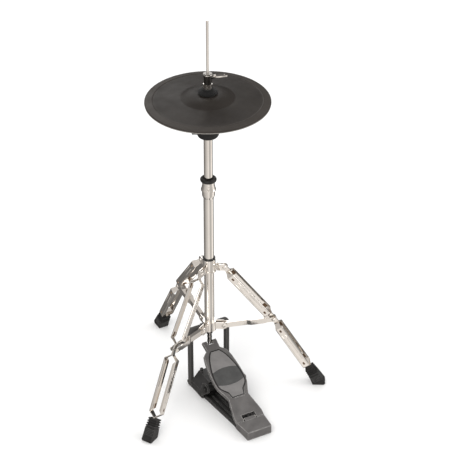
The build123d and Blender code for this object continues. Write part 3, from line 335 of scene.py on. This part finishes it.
def chrome_finish(name, light, dark, low, high):
    """Bright plating: faint orange peel, hand smudges, duller patches."""
    finish = Finish(name, light, low, 1.0)
    smudge = finish.noise(26, 5.0, 0.62)
    finish.rough(finish.spread(smudge, low, high))
    finish.colour(finish.tint(finish.noise(9, 4.0), dark, light, 0.25, 0.6))
    finish.bump(finish.noise(60, 2.0), 0.06, 0.0006)
    finish.bump(finish.noise(900, 2.0), 0.03, 0.0001)
    return finish.material


def cast_finish(name, dark, light, rough, grain, edge_wear_and_highlight, edge_width=0.0012):
    """Powder coat on a casting: fine grain, dust in patches, and light outer edges that are partly
    rubbed-off coat showing metal, partly a painted edge highlight.
    """
    finish = Finish(name, dark, rough, specular=0.3)
    body = finish.tint(finish.noise(35, 5.0), dark, light)
    # Light outer edges in patches: partly rubbed-off coat showing metal, partly a painted edge highlight.
    wear_and_highlight_patches = finish.spread(finish.noise(240, 3.0), 0.3, 1.0)
    edge = finish.maths("MULTIPLY", finish.edges(edge_width), wear_and_highlight_patches)
    finish.colour(finish.blend(edge, body, edge_wear_and_highlight))
    finish.rough(finish.spread(finish.noise(48, 4.0), rough - 0.08, rough + 0.1))
    finish.bump(finish.cells(grain), 0.25, 0.00025)
    finish.bump(finish.noise(grain * 0.4, 3.0), 0.2, 0.0002)
    return finish.material


def rubber_finish(name, dark, light, rough, grain, specular=0.3):
    """Moulded rubber: soft highlights, a dusting of chalk and a fine grain."""
    finish = Finish(name, dark, rough, specular=specular)
    finish.colour(finish.tint(finish.noise(55, 6.0), dark, light, 0.35, 0.75))
    finish.rough(finish.spread(finish.noise(90, 3.0), rough - 0.07, rough + 0.1))
    finish.bump(finish.noise(grain, 4.0), 0.3, 0.0003)
    return finish.material


def felt_finish(name, dark, light):
    """Pressed felt: matted fibres and sheen."""
    finish = Finish(name, dark, 0.95, specular=0.2, sheen=0.1)
    finish.colour(finish.tint(finish.noise(700, 6.0, 0.7), dark, light))
    finish.bump(finish.noise(900, 6.0, 0.75), 0.9, 0.0012)
    finish.bump(finish.noise(240, 4.0), 0.5, 0.0012)
    return finish.material


PAD_BAND = (0.126, 0.138)   # where the pad's painted shade in the middle turns into the painted sheen of its lighter outer band


def pad_finish():
    """Playing surface: matt rubber, soft handling marks, fine ribs, painted shade darkening the middle and
    a painted sheen as a lighter outer band.
    """
    finish = Finish("pad_rubber", (0.03, 0.026, 0.023), 0.46, specular=0.24)
    mottle = finish.noise(14, 6.0, 0.6)
    # Darker middle is painted shade, lighter outer band is painted sheen, blended by radius.
    inner = finish.tint(mottle, (0.0125, 0.0095, 0.0075), (0.022, 0.018, 0.015))
    outer = finish.tint(mottle, (0.028, 0.023, 0.019), (0.040, 0.034, 0.030))
    radius = finish.radius()
    finish.colour(finish.blend(finish.spread(radius, 0.0, 1.0, *PAD_BAND), inner, outer))
    finish.rough(finish.spread(finish.noise(30, 4.0), 0.40, 0.52))
    rings = finish.maths("SINE", finish.maths("MULTIPLY", radius, 5200.0))
    finish.bump(rings, 0.10, 0.00012)
    finish.bump(finish.noise(1400, 3.0), 0.25, 0.0002)
    return finish.material


def make_materials():
    """One finish for each material slot of the record."""
    # Edge tone for the castings: rubbed-off metal and a painted edge highlight.
    bare_metal_and_highlight = (0.30, 0.29, 0.28)
    return {
        "chrome": chrome_finish("chrome", (0.90, 0.87, 0.83), (0.78, 0.74, 0.70), 0.04, 0.12),
        "steel": chrome_finish("steel", (0.66, 0.64, 0.61), (0.48, 0.46, 0.43), 0.18, 0.34),
        "black_chrome": chrome_finish("black_chrome", (0.24, 0.23, 0.22), (0.13, 0.125, 0.12), 0.05, 0.14),
        "arch_black": cast_finish("arch_black", (0.048, 0.046, 0.044), (0.068, 0.065, 0.062), 0.4, 1400,
                                  bare_metal_and_highlight),
        "chain_black": chrome_finish("chain_black", (0.07, 0.07, 0.07), (0.035, 0.035, 0.035), 0.25, 0.42),
        "cast_black": cast_finish("cast_black", (0.028, 0.027, 0.027), (0.04, 0.039, 0.038), 0.42, 1500,
                                  bare_metal_and_highlight),
        # The footboard's light edge rims are partly rubbed-off coat, partly a painted highlight.
        "cast_grey": cast_finish("cast_grey", (0.094, 0.089, 0.087), (0.140, 0.133, 0.130), 0.42, 1300,
                                 (0.62, 0.60, 0.58), 0.0022),
        "inlay": cast_finish("inlay", (0.175, 0.168, 0.165), (0.225, 0.216, 0.212), 0.5, 1700,
                             (0.36, 0.36, 0.35)),
        "grip": rubber_finish("grip", (0.060, 0.060, 0.060), (0.085, 0.085, 0.083), 0.55, 1500),
        "rubber": rubber_finish("rubber", (0.010, 0.010, 0.010), (0.024, 0.023, 0.022), 0.4, 800),
        "nylon": rubber_finish("nylon", (0.010, 0.010, 0.011), (0.018, 0.018, 0.018), 0.3, 500),
        "felt": felt_finish("felt", (0.004, 0.004, 0.004), (0.012, 0.012, 0.012)),
        "window": chrome_finish("window", (0.20, 0.13, 0.08), (0.10, 0.07, 0.05), 0.22, 0.4),
        # Pale ring under the pad: partly a pale rim of the base, partly a painted highlight.
        "lip": rubber_finish("lip", (0.34, 0.32, 0.30), (0.42, 0.40, 0.37), 0.45, 900),
        # Studs use a lighter copy of the foot rubber: a painted highlight on the tread.
        "stud_highlight": rubber_finish("stud_highlight", (0.050, 0.049, 0.048), (0.085, 0.083, 0.080), 0.38, 800, 0.5),
        "pad_rubber": pad_finish(),
        "pad_plastic": rubber_finish("pad_plastic", (0.030, 0.028, 0.027), (0.045, 0.042, 0.040), 0.5, 900),
        "controller": rubber_finish("controller", (0.016, 0.016, 0.016), (0.026, 0.025, 0.024), 0.45, 700,
                                    0.15),
    }


def give_material(piece, material):
    """Use one material all over a piece."""
    piece.data.materials.clear()
    piece.data.materials.append(material)


# ---------------------------------------------------------------- modelled details
MM = 0.001
LEG_ANGLES = {"right": -30.0, "back": 90.0, "left": 210.0}
HUB_PIVOT = (0.0386, 0.3616)        # distance from the axis, height
MID_PIVOT = (0.1655, 0.2049)
FOOT_END = (0.2873, 0.006)
STRUT_PIVOT = (0.0368, 0.1817)
BOARD_SLOPE = math.radians(24.5)
BOARD_HEEL = Vector((0, -0.222, 0.025))
UP = Vector((0, 0, 1))


def outward(angle):
    """Unit vector from the axis at an angle round the stand."""
    return Vector((math.cos(math.radians(angle)), math.sin(math.radians(angle)), 0))


def sideways(angle):
    """Unit vector across a leg."""
    return Vector((math.sin(math.radians(angle)), -math.cos(math.radians(angle)), 0))


def in_leg(angle, place):
    """A point in a leg's middle plane from its distance out and its height."""
    return outward(angle) * place[0] + UP * place[1]


def on_board(x, v, height=0.0):
    """A point on the footboard's top: across, up the board and off its face, in millimetres."""
    up_board = Vector((0, math.cos(BOARD_SLOPE), math.sin(BOARD_SLOPE)))
    off_board = Vector((0, -math.sin(BOARD_SLOPE), math.cos(BOARD_SLOPE)))
    return BOARD_HEEL + Vector((x * MM, 0, 0)) + up_board * (v * MM) + off_board * (height * MM)


def add_piece(name, form, body, material, smooth=True):
    """Turn a bmesh into a piece that rides on a body."""
    bmesh.ops.recalc_face_normals(form, faces=form.faces)
    mesh = bpy.data.meshes.new(name)
    form.to_mesh(mesh)
    form.free()
    for face in mesh.polygons:
        face.use_smooth = smooth
    mesh.materials.append(material)
    piece = bpy.data.objects.new(name, mesh)
    bpy.context.scene.collection.objects.link(piece)
    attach(piece, body)
    return piece


def sweep_section(form, path, section, closed=True):
    """Add a strip: a section (points of offset and height) carried along a path of frames."""
    rings = []
    for centre, offset_dir, height_dir in path:
        rings.append([form.verts.new(centre + offset_dir * u + height_dir * w) for u, w in section])
    count = len(rings)
    for index in range(count if closed else count - 1):
        here, after = rings[index], rings[(index + 1) % count]
        for corner in range(len(section)):
            beside = (corner + 1) % len(section)
            form.faces.new((here[corner], here[beside], after[beside], after[corner]))
    if not closed:
        form.faces.new(rings[0])
        form.faces.new(list(reversed(rings[-1])))


def round_section(half_width, height, steps=8):
    """Half-round section of a bead, sunk a little at its foot."""
    arc = [(half_width * math.cos(math.pi * i / steps), height * math.sin(math.pi * i / steps))
           for i in range(steps + 1)]
    return arc + [(-half_width, -height * 0.5), (half_width, -height * 0.5)]


def smooth_through(points, steps=6):
    """Points of a smooth curve through the given ones."""
    curve = []
    for index in range(len(points) - 1):
        before = Vector(points[max(index - 1, 0)])
        start, end = Vector(points[index]), Vector(points[index + 1])
        after = Vector(points[min(index + 2, len(points) - 1)])
        for step in range(steps):
            t = step / steps
            slope = (end - before) * t
            bend = (2 * before - 5 * start + 4 * end - after) * t ** 2
            turn = (3 * start - before - 3 * end + after) * t ** 3
            curve.append(0.5 * (2 * start + slope + bend + turn))
    return curve + [Vector(points[-1])]


def dome(form, centre, facing, radius, height, rings=5, around=20):
    """Add a shallow dome with a flat foot."""
    side = facing.orthogonal().normalized()
    other = facing.cross(side)
    levels = []
    for ring in range(rings):
        lift = math.sin(math.pi / 2 * ring / rings)
        spread = math.cos(math.pi / 2 * ring / rings)
        level = []
        for turn in (2 * math.pi * i / around for i in range(around)):
            direction = side * math.cos(turn) + other * math.sin(turn)
            level.append(form.verts.new(centre + facing * (height * lift) + direction * radius * spread))
        levels.append(level)
    top = form.verts.new(centre + facing * height)
    for low, high in zip(levels, levels[1:]):
        for i in range(around):
            j = (i + 1) % around
            form.faces.new((low[i], low[j], high[j], high[i]))
    for i in range(around):
        form.faces.new((levels[-1][i], levels[-1][(i + 1) % around], top))
    form.faces.new(list(reversed(levels[0])))


INLAY_SIDE = [(11.5, 212), (21.5, 197), (30.5, 172), (36.5, 146), (38, 124), (35.5, 107), (27, 96)]
INLAY_TONGUE = [(20, 89), (16, 73)]
# Size of the dark bead that paints shade into the groove round the panel.
GROOVE_SHADE_OFFSET = 1.2
GROOVE_SHADE_HALF = 2.0
GROOVE_SHADE_HEIGHT = 0.8


def make_groove_shade_bead(finishes):
    """Dark bead in the groove round the footboard's panel: painted shade deepening the groove."""
    half = smooth_through(INLAY_SIDE) + [Vector(point) for point in INLAY_TONGUE]
    loop = half + [Vector((-point.x, point.y)) for point in reversed(half)]
    form = bmesh.new()
    path = []
    for index, point in enumerate(loop):
        ahead = loop[(index + 1) % len(loop)] - loop[index - 1]
        out_dir = Vector((ahead.y, -ahead.x)).normalized()
        if out_dir.dot(point - Vector((0, 140))) < 0:
            out_dir.negate()
        centre = on_board(point.x + out_dir.x * GROOVE_SHADE_OFFSET, point.y + out_dir.y * GROOVE_SHADE_OFFSET)
        across = (on_board(out_dir.x, out_dir.y) - on_board(0, 0)).normalized()
        path.append((centre, across, (on_board(0, 0, 1) - on_board(0, 0)).normalized()))
    sweep_section(form, path, round_section(GROOVE_SHADE_HALF * MM, GROOVE_SHADE_HEIGHT * MM))
    add_piece("inlay_groove_shade", form, "footboard", finishes["rubber"])


RIB_COUNT = 9
RIB_SPACING = 3.5
RIB_V = (66.5, 71.5)
RIB_HALF = 0.85
RIB_HEIGHT = 0.9


def make_inlay_ribs(finishes):
    """Row of small moulded ribs below the panel's heel end."""
    form = bmesh.new()
    section = round_section(RIB_HALF * MM, RIB_HEIGHT * MM, 6)
    lift = (on_board(0, 0, 1) - on_board(0, 0)).normalized()
    for rib in range(RIB_COUNT):
        x = (rib - (RIB_COUNT - 1) / 2) * RIB_SPACING
        path = [(on_board(x, v), Vector((1, 0, 0)), lift) for v in RIB_V]
        sweep_section(form, path, section, closed=False)
    add_piece("inlay_ribs", form, "footboard", finishes["cast_grey"])


DOME_RADIUS = 3.9
COLLAR_DOME = (8.85, 1.3)       # where a dome starts across the leg, and its height
HUB_DOME = (6.05, 1.3)
STRUT_DOME = (10.55, 1.6)


def pair_of_domes(form, angle, pivot, start, height):
    """Add a dome on both ends of a rivet."""
    for side in (-1, 1):
        facing = sideways(angle) * side
        dome(form, in_leg(angle, pivot) + facing * (start * MM), facing, DOME_RADIUS * MM, height * MM)


def make_rivet_domes(finishes):
    """Domed heads on the rivets of collar, hub and legs."""
    for body, pivot, size in (("base", STRUT_PIVOT, COLLAR_DOME), ("hub", HUB_PIVOT, HUB_DOME)):
        form = bmesh.new()
        for angle in LEG_ANGLES.values():
            pair_of_domes(form, angle, pivot, *size)
        add_piece(f"{body}_rivet_domes", form, body, finishes["chrome"])
    for leg, angle in LEG_ANGLES.items():
        form = bmesh.new()
        pair_of_domes(form, angle, MID_PIVOT, *STRUT_DOME)
        add_piece(f"strut_{leg}_domes", form, f"strut_{leg}", finishes["chrome"])


def leg_run(start, end):
    """Length and unit direction of a leg's segment, out and up."""
    step = Vector(end) - Vector(start)
    return step.length, step.normalized()


def plate(form, centre, run, rise, facing):
    """Add a tab: a thin block with its long side along a direction."""
    half_run, half_rise = (size * MM for size in TAB_HALF)
    corners = []
    for level in (0, -TAB_DEPTH * MM):
        for u, w in ((-1, -1), (1, -1), (1, 1), (-1, 1)):
            place = centre + run * (u * half_run) + rise * (w * half_rise) + facing * level
            corners.append(form.verts.new(place))
    form.faces.new(corners[:4])
    form.faces.new(list(reversed(corners[4:])))
    for i in range(4):
        j = (i + 1) % 4
        form.faces.new((corners[i], corners[i + 4], corners[j + 4], corners[j]))


WINDOW_BACK = 15.9          # just inside a strap's web, across the leg
WINDOW_END = 36             # from a segment's pivot to the middle of its window
FOOT_WINDOW_END = 78        # the same at the end that goes into the foot
TAB_HALF = (6.2, 4.2)
TAB_DEPTH = 0.8
TAB_BEVEL = 0.2


def make_window_backs(finishes):
    """Dark spring-steel tabs behind the pressed windows of each leg's straps."""
    for leg, angle in LEG_ANGLES.items():
        form = bmesh.new()
        for start, end, far in ((HUB_PIVOT, MID_PIVOT, WINDOW_END), (MID_PIVOT, FOOT_END, FOOT_WINDOW_END)):
            length, heading = leg_run(start, end)
            run = outward(angle) * heading.x + UP * heading.y
            for along in (WINDOW_END * MM, length - far * MM):
                for side in (-1, 1):
                    facing = sideways(angle) * side
                    centre = in_leg(angle, start) + run * along + facing * (WINDOW_BACK * MM)
                    plate(form, centre, run, run.cross(facing), facing)
        bmesh.ops.bevel(form, geom=form.edges[:], offset=TAB_BEVEL * MM, segments=1, affect="EDGES")
        add_piece(f"leg_{leg}_tabs", form, f"leg_{leg}", finishes["window"], smooth=False)


STRAP_FACE = 17.75          # outer face of a strap's web, across the leg
CHANNEL_RISE = 4.6          # pressed beads either side of a strap's middle
CHANNEL_SECTION = (0.9, 0.55)
CHANNEL_ENDS = ((50, 50), (50, 94))     # where the beads stop, from each segment's ends


def make_strap_beads(finishes):
    """Long stiffening beads pressed into the legs' straps."""
    section = round_section(CHANNEL_SECTION[0] * MM, CHANNEL_SECTION[1] * MM, 6)
    segments = list(zip((HUB_PIVOT, MID_PIVOT), (MID_PIVOT, FOOT_END), CHANNEL_ENDS))
    for leg, angle in LEG_ANGLES.items():
        form = bmesh.new()
        for start, end, (near, far) in segments:
            length, heading = leg_run(start, end)
            run = outward(angle) * heading.x + UP * heading.y
            for side in (-1, 1):
                facing = sideways(angle) * side
                rise = run.cross(facing)
                for place in (-CHANNEL_RISE, CHANNEL_RISE):
                    foot = in_leg(angle, start) + facing * (STRAP_FACE * MM) + rise * (place * MM)
                    ends = (foot + run * (near * MM), foot + run * (length - far * MM))
                    sweep_section(form, [(point, rise, facing) for point in ends], section, closed=False)
        add_piece(f"leg_{leg}_beads", form, f"leg_{leg}", finishes["chrome"])


STUD_RADIUS = 1.4
STUD_HEIGHT = 1.0
STUD_SPACING = 3.9
STUD_RUN = (-30, -6)        # along the leg from its end, where the boot is solid
STUD_COLUMNS = range(-3, 4)
STUD_SINK = 0.1
STUD_CAST = 0.06            # how far outside the boot a ray starts, in metres
STUD_FACING = -0.9          # only faces that look back along the ray get studs
STUD_LOWEST = 0.007         # none at the very foot, in metres


def cast_studs(form, tree, origin, across, run, inward):
    """Add a field of studs where rays meet the boot."""
    steps = int((STUD_RUN[1] - STUD_RUN[0]) / STUD_SPACING) + 1
    for row in range(steps):
        for column in STUD_COLUMNS:
            shift = (column + 0.5 * (row % 2)) * STUD_SPACING * MM
            place = origin + run * ((STUD_RUN[0] + row * STUD_SPACING) * MM) + across * shift
            hit, normal, _, _ = tree.ray_cast(place - inward * STUD_CAST, inward)
            if hit is None or normal.dot(inward) > STUD_FACING or hit.z < STUD_LOWEST:
                continue
            dome(form, hit - normal * (STUD_SINK * MM), normal, STUD_RADIUS * MM, STUD_HEIGHT * MM, 3, 8)


def make_foot_studs(nodes, finishes):
    """Raised studs moulded on the top and sides of each rubber foot, in a lighter tone that paints the
    tread's highlights.
    """
    _, heading = leg_run(MID_PIVOT, FOOT_END)
    for leg, angle in LEG_ANGLES.items():
        boot = nodes[f"leg_{leg}_foot"]
        points = [boot.matrix_world @ vertex.co for vertex in boot.data.vertices]
        tree = BVHTree.FromPolygons(points, [tuple(face.vertices) for face in boot.data.polygons])
        form = bmesh.new()
        run = outward(angle) * heading.x + UP * heading.y
        rise = run.cross(sideways(angle))
        if rise.z < 0:
            rise.negate()
        end = in_leg(angle, FOOT_END)
        cast_studs(form, tree, end, sideways(angle), run, -rise)
        for side in (-1, 1):
            cast_studs(form, tree, end, rise, run, sideways(angle) * -side)
        add_piece(f"leg_{leg}_studs", form, f"leg_{leg}", finishes["stud_highlight"])


def ring_bead(form, radius, height, section, steps=128):
    """Add a bead round the stand's axis."""
    path = []
    for step in range(steps):
        direction = outward(360 * step / steps)
        path.append((direction * radius + UP * height, direction, UP))
    sweep_section(form, path, section)


def oval_section(half_width, half_height, corners):
    """Oval section of a ring, in millimetres."""
    turns = [2 * math.pi * i / corners for i in range(corners)]
    return [(half_width * MM * math.cos(turn), half_height * MM * math.sin(turn)) for turn in turns]


PAD_LIP_GLINT_PLACE = (150.6, 834.6)      # radius and height, in millimetres
CLUTCH_RING_PLACE = (10.6, 911.0)


def make_pad_lip(finishes):
    """Pale ring that shows under the cover's edge: partly a pale rim of the base, partly a painted
    highlight along the cover's lower edge.
    """
    form = bmesh.new()
    ring_bead(form, PAD_LIP_GLINT_PLACE[0] * MM, PAD_LIP_GLINT_PLACE[1] * MM, oval_section(1.2, 0.9, 10))
    add_piece("pad_lip", form, "pad", finishes["lip"])


def make_clutch_ring(finishes):
    """Bright rolled ring round the top of the clutch."""
    form = bmesh.new()
    ring_bead(form, CLUTCH_RING_PLACE[0] * MM, CLUTCH_RING_PLACE[1] * MM, oval_section(0.8, 1.1, 12), 64)
    add_piece("clutch_ring", form, "clutch", finishes["chrome"])


make_camera()
make_stage()
finishes = make_materials()
NODE_FINISH = {"frame": "arch_black"}     # nodes whose coat differs a little from their slot's
for node_name, node in nodes.items():
    give_material(node, finishes[NODE_FINISH.get(node_name, slot_of[node_name])])
make_groove_shade_bead(finishes)
make_inlay_ribs(finishes)
make_rivet_domes(finishes)
make_window_backs(finishes)
make_strap_beads(finishes)
make_foot_studs(nodes, finishes)
make_pad_lip(finishes)
make_clutch_ring(finishes)
